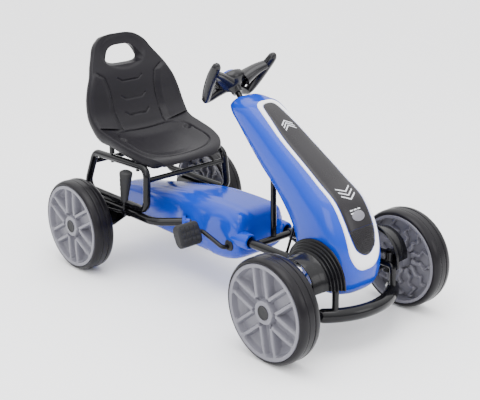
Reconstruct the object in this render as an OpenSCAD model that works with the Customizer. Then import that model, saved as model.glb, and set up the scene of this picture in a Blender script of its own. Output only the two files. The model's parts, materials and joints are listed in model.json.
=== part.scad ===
// Child's pedal go-kart. +Z is up, the kart faces -Y, and the driver's right hand is -X.
// The origin is on the ground, under the middle of the kart's outer box.
// Distances named "ahead" are measured forwards from the rear axle.

/* [Overall] */
// Distance between the front and rear axles
wheelbase = 762; // [760:1:764]
// Width over the rear rims' outer faces
rear_width = 524; // [520:1:530]
// Width over the front rims' outer faces
front_width = 512; // [508:1:518]

/* [Wheels] */
// Outer diameter of the tyres
wheel_d = 250; // [248:1:252]
// Width of a tyre
tyre_w = 59; // [57:1:60]
// Diameter of a rim's outer face
rim_d = 225; // [223:1:226]
// Number of twin spokes on a rim
spoke_count = 6; // [5:1:7]
// Diameter of the axles and stub axles
axle_d = 14; // [13:0.5:14.5]
// Radial running clearance of every pin in its bore
running_gap = 0.06; // [0.05:0.01:0.08]

/* [Frame] */
// Diameter of the main frame tubes
rail_d = 22; // [21:0.5:22.5]
// Wall thickness of the frame tubes
tube_wall = 1.8; // [1.5:0.1:2.2]
// Height of the main rails' centre line
rail_z = 167; // [166:0.5:168]
// Distance of each rail from the middle at the back
rail_rear_x = 144; // [143:0.5:145]
// Distance of each rail from the middle at the front
rail_front_x = 62; // [61:0.5:63]
// Diameter of the seat loops' tube
loop_d = 20; // [19:0.5:20]

/* [Drive] */
// Distance of the crank ahead of the rear axle
crank_ahead = 450; // [448:1:452]
// Height of the crank axis
crank_z = 147; // [146:0.5:148]
// Distance between the crank axis and a pedal axis
crank_throw = 72; // [70:1:74]
// Angle of the right crank arm above the horizontal, pointing backwards
crank_angle = 28; // [26:1:30]
// Teeth on the chainring
ring_teeth = 24; // [22:1:24]
// Teeth on the rear sprocket
sprocket_teeth = 12; // [11:1:12]
// Pitch of the chain
chain_pitch = 6.35; // [6.2:0.05:6.35]

/* [Steering] */
// Angle of the steering column above the horizontal
column_angle = 46; // [45.5:0.5:46.5]
// Distance of the kingpins from the middle
kingpin_x = 165; // [164:0.5:166]
// Length of a knuckle's steering arm
knuckle_arm = 62; // [61:0.5:63]
// Radius at which the drop arm's pin turns
pitman_arm_r = 35; // [34.5:0.5:35.5]

/* [Hidden] */

BLUE = [0.16, 0.36, 0.80];
BLACK = [0.10, 0.10, 0.11];
CHARCOAL = [0.24, 0.24, 0.26];
GREY = [0.60, 0.60, 0.63];
STEEL = [0.70, 0.71, 0.73];
WHITE = [0.95, 0.95, 0.96];

wheel_r = wheel_d / 2;
rim_r = rim_d / 2;
axle_r = axle_d / 2;
bore_r = axle_r + running_gap;
axle_z = wheel_r;
rear_y = wheelbase / 2;
front_ahead = wheelbase;
front_y = rear_y - wheelbase;
crank_y = rear_y - crank_ahead;
RIGHT = -1;
LEFT = 1;

// A place that is a given distance ahead of the rear axle, as a Y value
function fwd(ahead) = rear_y - ahead;
function unit(v) = v / norm(v);
function signed_power(v, p) = sign(v) * pow(abs(v), p);

// ---- Tubes and rods ----

// Places the children with their Z axis along a direction
module along(from, direction) {
    turn = atan2(direction.y, direction.x);
    tip = acos(direction.z / norm(direction));
    translate(from) rotate([0, tip, turn]) children();
}

// A round bar between two points
module bar(a, b, d) {
    along(a, b - a) cylinder(d = d, h = norm(b - a), $fn = 40);
}

function bend_cut(p, q, r, bend_r) =
    bend_r * tan(acos(unit(q - p) * unit(r - q)) / 2);

// A quarter or part of a ring that joins the straights p-q and q-r
module elbow(p, q, r, bend_r, d) {
    u = unit(q - p);
    v = unit(r - q);
    turn = acos(u * v);
    inward = unit(v - (v * u) * u);
    start = q - u * bend_cut(p, q, r, bend_r);
    c = start + inward * bend_r;
    x = -inward;
    z = cross(x, u);
    multmatrix([[x.x, u.x, z.x, c.x], [x.y, u.y, z.y, c.y], [x.z, u.z, z.z, c.z], [0, 0, 0, 1]])
        rotate_extrude(angle = turn, $fn = 64)
            translate([bend_r, 0]) circle(d = d, $fn = 40);
}

// A bar bent through a list of corner points, with its ends drawn out by extra
module bent_bar(pts, bend_r, d, extra = 0) {
    last = len(pts) - 1;
    for (i = [0 : last - 1]) {
        u = unit(pts[i + 1] - pts[i]);
        a = i == 0 ? pts[0] - u * extra
            : pts[i] + u * bend_cut(pts[i - 1], pts[i], pts[i + 1], bend_r);
        b = i == last - 1 ? pts[last] + u * extra
            : pts[i + 1] - u * bend_cut(pts[i], pts[i + 1], pts[i + 2], bend_r);
        bar(a, b, d);
    }
    for (i = [1 : last - 1]) elbow(pts[i - 1], pts[i], pts[i + 1], bend_r, d);
}

module bent_tube(pts, bend_r, d) {
    difference() {
        bent_bar(pts, bend_r, d);
        bent_bar(pts, bend_r, d - 2 * tube_wall, 1);
    }
}

// A bar with rounded ends
module ball_bar(a, b, d) {
    hull() for (end = [a, b]) translate(end) sphere(d = d, $fn = 24);
}

// Straight bars along a list of points, with a slightly fuller ball in each joint
joint_swell = 0.5;
module jointed_bar(pts, d) {
    for (i = [0 : len(pts) - 2]) bar(pts[i], pts[i + 1], d);
    for (i = [1 : len(pts) - 2]) translate(pts[i]) rotate([35, 25, 0]) sphere(d = d + joint_swell, $fn = 32);
}

// A disc, ring or sleeve lying along X, between two X values
module x_cylinder(x0, x1, y, z, r) {
    translate([min(x0, x1), y, z]) rotate([0, 90, 0])
        cylinder(r = r, h = abs(x1 - x0), $fn = 64);
}

// A closed skin through a list of rings that all have the same number of points
module loft(rings) {
    n = len(rings[0]);
    m = len(rings);
    polyhedron(
        points = [for (ring = rings) each ring],
        faces = concat(
            [[for (i = [0 : n - 1]) i]],
            [for (k = [0 : m - 2]) for (i = [0 : n - 1]) each [
                [k * n + i, (k + 1) * n + i, (k + 1) * n + (i + 1) % n],
                [k * n + i, (k + 1) * n + (i + 1) % n, k * n + (i + 1) % n]]],
            [[for (i = [n - 1 : -1 : 0]) (m - 1) * n + i]]
        ));
}

// ---- Frame ----

beam_z = 128;
beam_d = 20;
saddle_gap = 0.4;

function rail_path(side) = [
    [side * rail_rear_x, fwd(-14), rail_z],
    [side * rail_rear_x, fwd(222), rail_z],
    [side * rail_front_x, fwd(298), rail_z],
    [side * rail_front_x, fwd(front_ahead + 16), rail_z]
];

module main_rail(side) {
    color(BLACK) bent_tube(rail_path(side), 60, rail_d);
}

loop_x = 132;
loop_low_z = rail_z + rail_d / 2 + loop_d / 2 - 0.3;
loop_top_z = 303;
loop_x_low = rail_rear_x - 3;
loop_cut = 20;

module seat_loop(side) {
    low_x = side * loop_x_low;
    top_x = side * loop_x;
    front_foot = [low_x, fwd(190), loop_low_z];
    front_top = [top_x, fwd(186), loop_top_z];
    back_top = [top_x, fwd(-52), loop_top_z - 5];
    back_foot = [low_x, fwd(-92), loop_low_z + 2];
    corners = [front_foot, front_top, back_top, back_foot];
    color(BLACK) for (i = [0 : 3]) {
        before = corners[(i + 3) % 4];
        here = corners[i];
        after = corners[(i + 1) % 4];
        to_before = here + loop_cut * unit(before - here);
        to_after = here + loop_cut * unit(after - here);
        middle = (to_before + to_after) / 2 * 0.62 + here * 0.38;
        ball_bar(to_before, middle, loop_d);
        ball_bar(middle, to_after, loop_d);
        ball_bar(to_after, after + loop_cut * unit(here - after), loop_d);
    }
}

seat_bolt_r = 3;
seat_bolt_ahead = [30, 145];

module seat_cross_bars() {
    color(BLACK) for (ahead = [187.2, -62.3])
        bar([6.8 - loop_x, fwd(ahead), 270], [loop_x - 6.8, fwd(ahead), 270], 14);
}

plate_t = 5;
plate_x = rail_rear_x - rail_d / 2 - plate_t + 0.5;
bearing_r = 17;

// Side plate that hangs the rear axle under a rail
module rear_bracket(side) {
    color(BLACK) difference() {
        translate([side > 0 ? plate_x : -plate_x - plate_t, 0, 0]) rotate([90, 0, 90])
            linear_extrude(plate_t) hull() {
                translate([rear_y, axle_z]) circle(r = 30, $fn = 48);
                for (ahead = [-12, 84]) translate([fwd(ahead), rail_z - 4]) circle(r = 14, $fn = 32);
            }
        x_cylinder(side * (plate_x - 1), side * (plate_x + plate_t + 1), rear_y, axle_z, bearing_r);
    }
}

// Flanged plastic bearings that stand between the plates and the rear wheels
module axle_bearings() {
    color(BLACK) for (side = [RIGHT, LEFT]) difference() {
        union() {
            x_cylinder(side * (plate_x - 3), side * (plate_x + plate_t + 0.1), rear_y, axle_z, bearing_r - 0.02);
            x_cylinder(side * (plate_x + plate_t + 0.1), side * (drum_x - 1.5), rear_y, axle_z, 22);
        }
        x_cylinder(side * (plate_x - 5), side * drum_x, rear_y, axle_z, bore_r);
    }
}

// Blocks under the rails that hold the crank's bushes
hanger_w = 16;
crank_rod_r = 6;
crank_bush_r = 8.5;
module crank_hangers() {
    top = rail_z - rail_d / 2 + 0.3;
    color(BLACK) for (side = [RIGHT, LEFT]) difference() {
        hull() {
            x_cylinder(side * (rail_front_x - hanger_w / 2), side * (rail_front_x + hanger_w / 2),
                crank_y, crank_z, 14);
            translate([side * rail_front_x - hanger_w / 2, crank_y - 17, top - 4]) cube([hanger_w, 34, 4]);
        }
        x_cylinder(-100, 100, crank_y, crank_z, crank_bush_r + 0.02);
    }
}

module crank_bushes() {
    color(STEEL) for (side = [RIGHT, LEFT]) difference() {
        x_cylinder(side * (rail_front_x - hanger_w / 2), side * (rail_front_x + hanger_w / 2 + 2),
            crank_y, crank_z, crank_bush_r);
        x_cylinder(-100, 100, crank_y, crank_z, crank_rod_r + running_gap);
    }
}

post_ahead = 528;
lower_tube_ahead = 655;
module cross_tubes() {
    inner = rail_front_x - rail_d / 2 + 0.3;
    color(BLACK) for (ahead = [post_ahead, lower_tube_ahead])
        bar([-inner, fwd(ahead), rail_z], [inner, fwd(ahead), rail_z], 18);
}

post_d = 15;
module steering_post() {
    color(BLACK) bar([0, fwd(post_ahead), rail_z + 8.7],
        column_at(post_ahead) - [0, 0, bush_block_r / cos(column_angle) - 0.6], post_d);
}

// ---- Steering ----

column_r = 7;
bush_block_r = 13;
column_ref_ahead = 393;
column_ref_z = 527;
column_dir = [0, cos(column_angle), sin(column_angle)];
column_up = [0, -sin(column_angle), cos(column_angle)];
pitman_ahead = 724;
hub_lift = 24;

// Point on the column's axis at a distance ahead of the rear axle
function column_at(ahead) =
    [0, fwd(ahead), column_ref_z - (ahead - column_ref_ahead) * tan(column_angle)];
hub_centre = column_at(column_ref_ahead) + column_dir * hub_lift;

lower_bush_ahead = 672;
module column_bushes() {
    color(BLACK) for (ahead = [post_ahead, lower_bush_ahead])
        difference() {
            union() {
                along(column_at(ahead) - column_dir * 14, column_dir) cylinder(r = bush_block_r, h = 28, $fn = 48);
                if (ahead == lower_bush_ahead)
                    hull() {
                        translate([-3, fwd(lower_tube_ahead + 5), rail_z + 8.6]) cube([6, 10, 2]);
                        translate([-3, fwd(ahead + 3), column_at(ahead).z - 14]) cube([6, 12, 4]);
                    }
            }
            along(column_at(ahead) - column_dir * 20, column_dir)
                cylinder(r = column_r + running_gap, h = 40, $fn = 48);
        }
}

pin_r = 3;
tie_low_z = 137;
tie_high_z = 145.5;
tie_rod_r = 3.5;

module steering_column() {
    foot = column_at(pitman_ahead);
    elbow_point = foot - column_up * pitman_arm_r;
    color(BLACK) {
        along(foot - column_dir * 5, column_dir)
            cylinder(r = column_r, h = norm(hub_centre - foot) - 3, $fn = 48);
        hull() {
            along(foot - column_dir * 4, column_dir) cylinder(r = 10, h = 6, $fn = 32);
            along(elbow_point - column_dir * 4, column_dir) cylinder(r = 7, h = 6, $fn = 32);
        }
        translate([0, elbow_point.y, tie_low_z - 9]) cylinder(r = pin_r, h = elbow_point.z - tie_low_z + 9, $fn = 32);
    }
}

grip_r = 11.5;

// A point on the steering wheel: sideways, up the wheel's plane, and towards the driver
function wheel_point(x, up, out) = hub_centre + [x, 0, 0] + column_up * up + column_dir * out;

horn_r = 21;
module steering_wheel() {
    color(BLACK) difference() {
        union() {
            along(hub_centre - column_dir * 36, column_dir) cylinder(r = 12.5, h = 30, $fn = 48);
            along(hub_centre - column_dir * 10, column_dir) cylinder(r = 36, h = 24, $fn = 64);
            for (side = [RIGHT, LEFT]) {
                hull() {
                    along(wheel_point(side * 24, 10, 0), column_dir) cylinder(r = 11, h = 10, $fn = 32);
                    along(wheel_point(side * 81, 46, -1), column_dir) cylinder(r = 8, h = 8, $fn = 32);
                }
                hull() {
                    along(wheel_point(side * 16, -20, -4), column_dir) cylinder(r = 12, h = 10, $fn = 32);
                    along(wheel_point(side * 66, -36, -17), column_dir) cylinder(r = 8, h = 8, $fn = 32);
                }
            }
        }
        along(hub_centre + column_dir * 4, column_dir) cylinder(r = horn_r + 0.3, h = 40, $fn = 64);
        along(hub_centre - column_dir * 40, column_dir) cylinder(r = column_r + 0.02, h = 38, $fn = 48);
    }
}

module grip(side) {
    path = [wheel_point(side * 90, 74, 2), wheel_point(side * 88, 46, -1), wheel_point(side * 70, -38, -16)];
    color(CHARCOAL) {
        jointed_bar(path, 2 * grip_r);
        for (end = [path[0], path[2]]) translate(end) sphere(d = 2 * grip_r + joint_swell, $fn = 32);
    }
}

module horn_button() {
    color(BLUE) along(hub_centre + column_dir * 8, column_dir) {
        cylinder(r = horn_r, h = 12, $fn = 64);
        translate([0, 0, 12]) cylinder(r1 = horn_r, r2 = horn_r - 5, h = 4, $fn = 64);
    }
}

// ---- Front axle ----

kingpin_r = 6;
sleeve_r = 11;
sleeve_low = 110;
sleeve_high = 150;
module front_axle_beam() {
    color(BLACK) difference() {
        union() {
            bar([-kingpin_x, front_y, beam_z], [kingpin_x, front_y, beam_z], beam_d);
            for (side = [RIGHT, LEFT]) {
                translate([side * kingpin_x, front_y, sleeve_low])
                    cylinder(r = sleeve_r, h = sleeve_high - sleeve_low, $fn = 48);
                translate([side * rail_front_x - 9, front_y - 8, beam_z])
                    cube([18, 16, rail_z - rail_d / 2 - beam_z + saddle_gap]);
            }
        }
        for (side = [RIGHT, LEFT]) translate([side * kingpin_x, front_y, 100])
            cylinder(r = kingpin_r + running_gap, h = 60, $fn = 48);
    }
}

lug_t = 5;
knuckle_plate_x = kingpin_x + 13;
module knuckle(side) {
    plate = side > 0 ? knuckle_plate_x : -knuckle_plate_x - lug_t;
    ball_z = side > 0 ? tie_high_z : tie_low_z;
    arm_x = side * (kingpin_x - 15);
    color(BLACK) {
        translate([plate, front_y - 15, sleeve_low - lug_t - 0.5])
            cube([lug_t, 30, sleeve_high - sleeve_low + 2 * lug_t + 1]);
        for (z = [sleeve_low - lug_t - 0.5, sleeve_high + 0.5])
            translate([0, 0, z]) linear_extrude(lug_t) hull() {
                translate([side * kingpin_x, front_y]) circle(r = 13, $fn = 40);
                translate([plate, front_y - 13]) square([lug_t, 26]);
            }
        translate([side * kingpin_x, front_y, sleeve_low - lug_t - 4])
            cylinder(r = kingpin_r, h = sleeve_high - sleeve_low + 2 * lug_t + 8, $fn = 48);
        translate([0, 0, sleeve_high + 0.5]) linear_extrude(lug_t) hull() {
            translate([side * kingpin_x, front_y + 4]) circle(r = 9, $fn = 32);
            translate([arm_x, front_y + knuckle_arm]) circle(r = 8, $fn = 32);
        }
        translate([arm_x, front_y + knuckle_arm, ball_z - 8])
            cylinder(r = pin_r, h = sleeve_high + 2 - ball_z + 8, $fn = 32);
        x_cylinder(side * (knuckle_plate_x + 1), side * (front_width / 2 - hub_recess), front_y, axle_z, axle_r);
    }
}

module tie_rod(side) {
    z = side > 0 ? tie_high_z : tie_low_z;
    outer = [side * (kingpin_x - 15), front_y + knuckle_arm, z];
    inner = [0, (column_at(pitman_ahead) - column_up * pitman_arm_r).y, z];
    color(BLACK) difference() {
        union() {
            bar(outer, inner, 2 * tie_rod_r);
            translate(outer - [0, 0, 4]) cylinder(r = 7.5, h = 8, $fn = 40);
            translate(inner - [0, 0, 3.5]) cylinder(r = 13.2, h = 7, $fn = 40);
        }
        translate(outer - [0, 0, 10]) cylinder(r = pin_r + running_gap, h = 20, $fn = 40);
        translate(inner - [0, 0, 10]) cylinder(r = 10.2, h = 20, $fn = 40);
    }
}

// ---- Nose ----

// Stations down the nose: front ahead and height, back ahead and height, half width
nose_stations = [
    [430, 515, 404, 495, 26], [446, 521, 408, 484, 44], [476, 517, 416, 464, 56],
    [509, 510, 428, 440, 62], [569, 474, 466, 388, 66], [619, 441, 505, 342, 68],
    [681, 402, 555, 296, 72], [733, 368, 600, 256, 76], [779, 338, 632, 226, 80],
    [807, 301, 650, 206, 84], [826, 261, 662, 190, 86], [837, 215, 668, 172, 86],
    [840, 180, 672, 156, 84], [836, 150, 676, 138, 80], [828, 120, 680, 120, 72]
];
nose_ring_points = 36;
nose_wall = 3;

function nose_ring(s, inset) = [
    for (i = [0 : nose_ring_points - 1])
        let (
            a = -360 * i / nose_ring_points,
            mid = [0, fwd((s[0] + s[2]) / 2), (s[1] + s[3]) / 2],
            reach = [0, (s[2] - s[0]) / 2, (s[1] - s[3]) / 2],
            span = norm(reach)
        )
        mid + unit(reach) * (span - inset) * signed_power(cos(a), 0.72)
            + [(s[4] - inset) * signed_power(sin(a), 0.72), 0, 0]
];

module nose_solid(inset) {
    loft([for (s = nose_stations) nose_ring(s, inset)]);
}

// The hollow inside the nose, closed at the top and open underneath
module nose_hollow() {
    stations = concat([for (i = [1 : len(nose_stations) - 1]) nose_stations[i]], [[826, 100, 682, 100, 70]]);
    loft([for (s = stations) nose_ring(s, nose_wall)]);
}

arch_z = 160;
pod_outer_r = 94;
module nose_fairing() {
    color(BLUE) difference() {
        nose_solid(0);
        nose_hollow();
        translate([-120, fwd(702), 100]) cube([240, 120, 106]);
        translate([-120, fwd(718), 100]) cube([240, 20, 84]);
        x_cylinder(-120, 120, front_y, arch_z - 34, 62);
        along(column_at(post_ahead), column_dir) cylinder(r = 13.5, h = 200, $fn = 32);
        translate([0, fwd(post_ahead), 250]) cylinder(r = post_d / 2 + 1.5, h = 110, $fn = 32);
        for (side = [RIGHT, LEFT])
            bar([side * stay_x, fwd(stay_foot_ahead), rail_z + 6],
                [side * stay_x, fwd(stay_foot_ahead + 34), 274], 12);
    }
}

stay_x = 44;
stay_foot_ahead = 622;

// Half outlines of the trim and the panel, as [place down the face, half width]
trim_outline = [[-14, 18], [-8, 31], [12, 39], [60, 44], [110, 48], [215, 50],
    [270, 52], [340, 55], [415, 55], [440, 49], [458, 36], [466, 18]];
panel_outline = [[-1, 11], [4, 20], [50, 27], [107, 34], [206, 37],
    [302, 40], [347, 41], [391, 39], [420, 31], [436, 17]];
grille_from = 384;

module face_outline(stations) {
    polygon(concat(
        [for (s = stations) [s[1], -s[0]]],
        [for (i = [len(stations) - 1 : -1 : 0]) [-stations[i][1], -stations[i][0]]]));
}

// Everything that stands over a flat outline on the nose's front, between two heights
module on_face(low, high) {
    intersection() {
        difference() {
            nose_solid(-high);
            nose_solid(-low);
        }
        translate([0, rear_y, 0]) rotate([45, 0, 0]) translate([0, 0, 664]) linear_extrude(160) children();
    }
}

module nose_trim() {
    color(WHITE) on_face(0.2, 4.5) difference() {
        face_outline(trim_outline);
        offset(delta = 0.4) face_outline(panel_outline);
    }
}

module nose_panel() {
    color(BLACK) on_face(0.2, 3) intersection() {
        face_outline(panel_outline);
        translate([-100, -grille_from + 0.3]) square([200, grille_from + 40]);
    }
}

module nose_grille() {
    color(BLACK) on_face(0.2, 2) intersection() {
        face_outline(panel_outline);
        translate([-100, -grille_from - 80]) square([200, 79.7]);
    }
}

module fairing_stays() {
    color(BLACK) for (side = [RIGHT, LEFT])
        jointed_bar([
            [side * (rail_front_x - rail_d / 2 + 0.4), fwd(stay_foot_ahead), rail_z + 2],
            [side * stay_x, fwd(stay_foot_ahead), rail_z + 4],
            [side * stay_x, fwd(stay_foot_ahead + 30), 262]], 7);
}

pod_inner_x = 87;
pod_step = 6;
pod_steps = 5;
pod_drop = 5;
pod_core_r = 67;
pod_outer_x = 160;
pod_wall = 3;

// Outline of a pod's skin: steps inwards, then a smooth arch to the wheel
function pod_profile(inset) = concat(
    [for (i = [0 : pod_steps - 1]) each [
        [pod_inner_x + i * pod_step, pod_outer_r - i * pod_drop - inset],
        [pod_inner_x + (i + 1) * pod_step - inset / 3, pod_outer_r - i * pod_drop - inset]]],
    [[pod_inner_x + pod_steps * pod_step, pod_core_r - inset], [pod_outer_x, pod_core_r - 3 - inset]]);

module axle_pod(side) {
    outer = pod_profile(0);
    inner = pod_profile(pod_wall);
    color(BLACK) mirror([side > 0 ? 0 : 1, 0, 0]) difference() {
        translate([0, front_y, arch_z]) rotate([0, 90, 0]) rotate_extrude($fn = 96)
            polygon(concat(
                [for (p = outer) [p.y, p.x]],
                [for (i = [len(inner) - 1 : -1 : 0]) [inner[i].y, inner[i].x]]));
        translate([0, front_y - 120, arch_z - 122]) cube([200, 240, 119.5]);
    }
}

bumper_r = 17;
bumper_z = 93;
bumper_arc_r = 174;
bumper_half_angle = 43;
bumper_leg_x = 98;
bumper_leg_d = 16;
bumper_front = 863;
leg_top_z = 158;

module front_bumper() {
    leg_ahead = bumper_front - bumper_arc_r + sqrt(pow(bumper_arc_r, 2) - pow(bumper_leg_x, 2));
    color(BLACK) {
        translate([0, fwd(bumper_front - bumper_arc_r), bumper_z]) {
            rotate([0, 0, 270 - bumper_half_angle]) rotate_extrude(angle = 2 * bumper_half_angle, $fn = 96)
                translate([bumper_arc_r, 0]) circle(r = bumper_r, $fn = 48);
            for (side = [-1, 1]) rotate([0, 0, 270 + side * bumper_half_angle])
                translate([bumper_arc_r, 0, 0]) sphere(r = bumper_r, $fn = 48);
        }
        for (side = [RIGHT, LEFT])
            bent_bar([
                [side * bumper_leg_x, fwd(leg_ahead), bumper_z],
                [side * bumper_leg_x, fwd(leg_ahead), leg_top_z],
                [side * bumper_leg_x, front_y - 9, leg_top_z],
                [side * bumper_leg_x, front_y, beam_z + 9]], 10, bumper_leg_d);
    }
}

// ---- Seat ----

// Stations from the front lip to the top: ahead, height, half width, how far the edges stand proud
seat_stations = [
    [200, 308, 92, 6], [190, 314, 116, 12], [165, 318, 137, 18], [120, 325, 148, 23],
    [70, 334, 151, 25], [26, 345, 152, 24], [0, 359, 155, 20], [-14, 377, 158, 15],
    [-30, 404, 160, 12], [-43, 440, 156, 12], [-52, 475, 146, 12], [-62, 505, 131, 11],
    [-75, 530, 118, 8], [-88, 556, 102, 5], [-98, 580, 88, 3], [-103, 598, 67, 1], [-105, 608, 38, 0]
];
seat_t = 20;
seat_ring_steps = 12;

function seat_normal(i) =
    let (
        a = seat_stations[max(i - 1, 0)],
        b = seat_stations[min(i + 1, len(seat_stations) - 1)],
        run = unit([0, a[0] - b[0], b[1] - a[1]])
    )
    [0, -run.z, run.y];

function seat_ring(i) =
    let (s = seat_stations[i], n = seat_normal(i), mid = [0, fwd(s[0]), s[1]])
    concat(
        [for (k = [-seat_ring_steps : seat_ring_steps])
            let (q = k / seat_ring_steps) mid + [q * s[2], 0, 0] + n * s[3] * q * q],
        [for (k = [seat_ring_steps : -1 : -seat_ring_steps])
            let (q = k / seat_ring_steps)
            mid + [q * (s[2] - 3), 0, 0] + n * (s[3] * q * q - seat_t * (1 - 0.25 * pow(q, 6)))]);

module bucket_seat() {
    color(CHARCOAL) difference() {
        loft([for (i = [0 : len(seat_stations) - 1]) seat_ring(i)]);
        translate([0, fwd(0), 0]) rotate([90, 0, 0]) translate([0, 0, -160]) linear_extrude(140) hull() {
            for (x = [-31, 31]) translate([x, 553]) circle(r = 9, $fn = 24);
            for (x = [-38, 38]) translate([x, 539]) circle(r = 8, $fn = 24);
        }
    }
}

module seat_bolts() {
    color(STEEL) for (x = [-loop_x, loop_x], place = [[seat_bolt_ahead[0], 343], [seat_bolt_ahead[1], 317]])
        translate([x, fwd(place[0]), 0]) {
            translate([0, 0, loop_top_z - 15])
                cylinder(r = seat_bolt_r - 0.05, h = place[1] + 5 - loop_top_z + 15, $fn = 24);
            translate([0, 0, loop_top_z - 16]) cylinder(r = 5.5, h = 6.5, $fn = 6);
            translate([0, 0, loop_top_z + 9.5]) cylinder(r = 7, h = place[1] - loop_top_z - 9.5, $fn = 24);
        }
}

// ---- Chain cover ----

// Stations from back to front: ahead, low, high, half width
cover_stations = [
    [-80, 116, 168, 30], [-72, 102, 181, 42], [-50, 95, 187, 48], [0, 92, 195, 51],
    [70, 91, 207, 55], [140, 91, 219, 60], [210, 92, 230, 66], [270, 93, 237, 75],
    [340, 93, 241, 79], [410, 95, 241, 80], [450, 103, 237, 78], [474, 113, 230, 72], [486, 124, 219, 62]
];
cover_wall = 3;
cover_gap = 0.3;
lobe_r = 20;
lobe_z = 169;
lobe_end_ahead = 513;

function cover_ring(s, inset) = [
    for (i = [0 : 35])
        let (a = -i * 10, half_h = (s[2] - s[1]) / 2)
        [
            (s[3] - inset) * signed_power(sin(a), 0.62),
            fwd(s[0] < 0 ? max(s[0], -80 + inset) : min(s[0], 486 - inset)),
            (s[1] + s[2]) / 2 + (half_h - inset) * signed_power(cos(a), 0.62)
        ]
];

module cover_solid(inset) {
    loft([for (s = cover_stations) cover_ring(s, inset)]);
}

module chain_cover(side) {
    color(BLUE) mirror([side > 0 ? 0 : 1, 0, 0]) intersection() {
        difference() {
            union() {
                cover_solid(0);
                translate([rail_front_x, fwd(lobe_end_ahead), lobe_z]) rotate([-90, 0, 0])
                    cylinder(r = lobe_r, h = 60, $fn = 48);
            }
            cover_solid(cover_wall);
            bent_bar(rail_path(LEFT), 60, rail_d + 1.6);
            x_cylinder(0, 100, crank_y, crank_z, 14);
            x_cylinder(0, 100, rear_y, axle_z, 11);
        }
        translate([cover_gap, fwd(600), 0]) cube([150, 800, 400]);
    }
}

// Screws along the covers' lower edges: ahead, height, half width of the cover there
cover_screw_places = [[-40, 118, 46], [90, 114, 52.6], [220, 116, 63.6]];
module cover_screws() {
    color(BLACK) for (side = [RIGHT, LEFT], place = cover_screw_places)
        x_cylinder(side * (place[2] - 6), side * (place[2] + 1.5), fwd(place[0]), place[1], 3.5);
}

// ---- Drive ----

chain_x = 20;
chain_w = 6;
tooth_reach = 1.8;
function pitch_r(teeth) = chain_pitch / (2 * sin(180 / teeth));

// A toothed disc on the drive line, with a hub that grips the shaft
module sprocket(teeth, y, z, shaft_r, hub_r) {
    r = pitch_r(teeth);
    translate([chain_x, y, z]) rotate([0, 90, 0]) difference() {
        union() {
            translate([0, 0, -1.5]) linear_extrude(3) polygon([
                for (i = [0 : teeth - 1], k = [[0, -tooth_reach], [0.3, tooth_reach * 0.6],
                    [0.5, tooth_reach], [0.7, tooth_reach * 0.6]])
                    let (a = 360 * (i + k[0]) / teeth, q = r + k[1]) [q * cos(a), q * sin(a)]
            ]);
            translate([0, 0, -8]) cylinder(r = hub_r, h = 16, $fn = 48);
        }
        translate([0, 0, -20]) cylinder(r = shaft_r, h = 40, $fn = 48);
        if (teeth > 20) for (i = [0 : 4]) rotate([0, 0, 72 * i]) translate([r * 0.69, 0, -5])
            cylinder(r = r * 0.14, h = 10, $fn = 32);
    }
}

module chainring() { color(STEEL) sprocket(ring_teeth, crank_y, crank_z, crank_rod_r + 0.02, 12); }
module rear_sprocket() { color(STEEL) sprocket(sprocket_teeth, rear_y, axle_z, axle_r + 0.02, 11); }

// Closed loop around both sprockets, just clear of their teeth
module chain_loop(out) {
    hull() {
        translate([crank_y, crank_z]) circle(r = pitch_r(ring_teeth) + tooth_reach + out, $fn = 72);
        translate([rear_y, axle_z]) circle(r = pitch_r(sprocket_teeth) + tooth_reach + out, $fn = 48);
    }
}

module drive_chain() {
    color(STEEL) translate([chain_x - chain_w / 2, 0, 0]) rotate([90, 0, 90])
        linear_extrude(chain_w) difference() {
            chain_loop(5.5);
            chain_loop(0.6);
        }
}

crank_bend_x = 100;
pin_from_x = 116;
pedal_in_x = 124;
pedal_out_x = 196;
pedal_rod_end = 190;
pedal_depth = 62;
pedal_t = 28;
pedal_turn = 66;

// Centre of a pedal's axis; the left pedal is half a turn from the right one
function pedal_axis(side) = [
    0,
    crank_y - side * crank_throw * cos(crank_angle),
    crank_z - side * crank_throw * sin(crank_angle)
];

module crank() {
    right = pedal_axis(RIGHT);
    left = pedal_axis(LEFT);
    color(BLACK) jointed_bar([
        right - [pedal_rod_end, 0, 0], right - [pin_from_x, 0, 0],
        [-crank_bend_x, crank_y, crank_z], [crank_bend_x, crank_y, crank_z],
        left + [pin_from_x, 0, 0], left + [pedal_rod_end, 0, 0]], 2 * crank_rod_r);
}

module pedal(side) {
    axis = pedal_axis(side);
    low_x = side > 0 ? pedal_in_x : -pedal_out_x;
    color(BLACK) difference() {
        translate([low_x, axis.y, axis.z]) rotate([pedal_turn, 0, 0]) rotate([90, 0, 90])
            linear_extrude(pedal_out_x - pedal_in_x)
            hull() for (y = [-1, 1], z = [-1, 1])
                translate([y * (pedal_depth / 2 - 8), z * (pedal_t / 2 - 8)]) circle(r = 8, $fn = 32);
        x_cylinder(side * (pedal_in_x - 1), side * (pedal_rod_end + 1.5), axis.y, axis.z,
            crank_rod_r + running_gap);
    }
}

hub_recess = 10;
module rear_axle() {
    end_x = rear_width / 2 - hub_recess;
    color(STEEL) x_cylinder(-end_x, end_x, rear_y, axle_z, axle_r);
}

// ---- Brake ----

lever_x = 166;
lever_t = 5;
pivot_ahead = 118;
pivot_y = fwd(pivot_ahead);
pivot_z = 172;
lever_top_ahead = 141;
lever_top_z = 298;
grip_low_z = 206;
grip_high_z = 292;
brake_swing = 6.5;
drum_x = 165;
drum_r = 27;
pad_x = 179;
arm_end = [-pad_x, fwd(24), 170];

function lever_point(z) = [
    -lever_x,
    fwd(pivot_ahead + (lever_top_ahead - pivot_ahead) * (z - pivot_z) / (lever_top_z - pivot_z)),
    z
];

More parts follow.
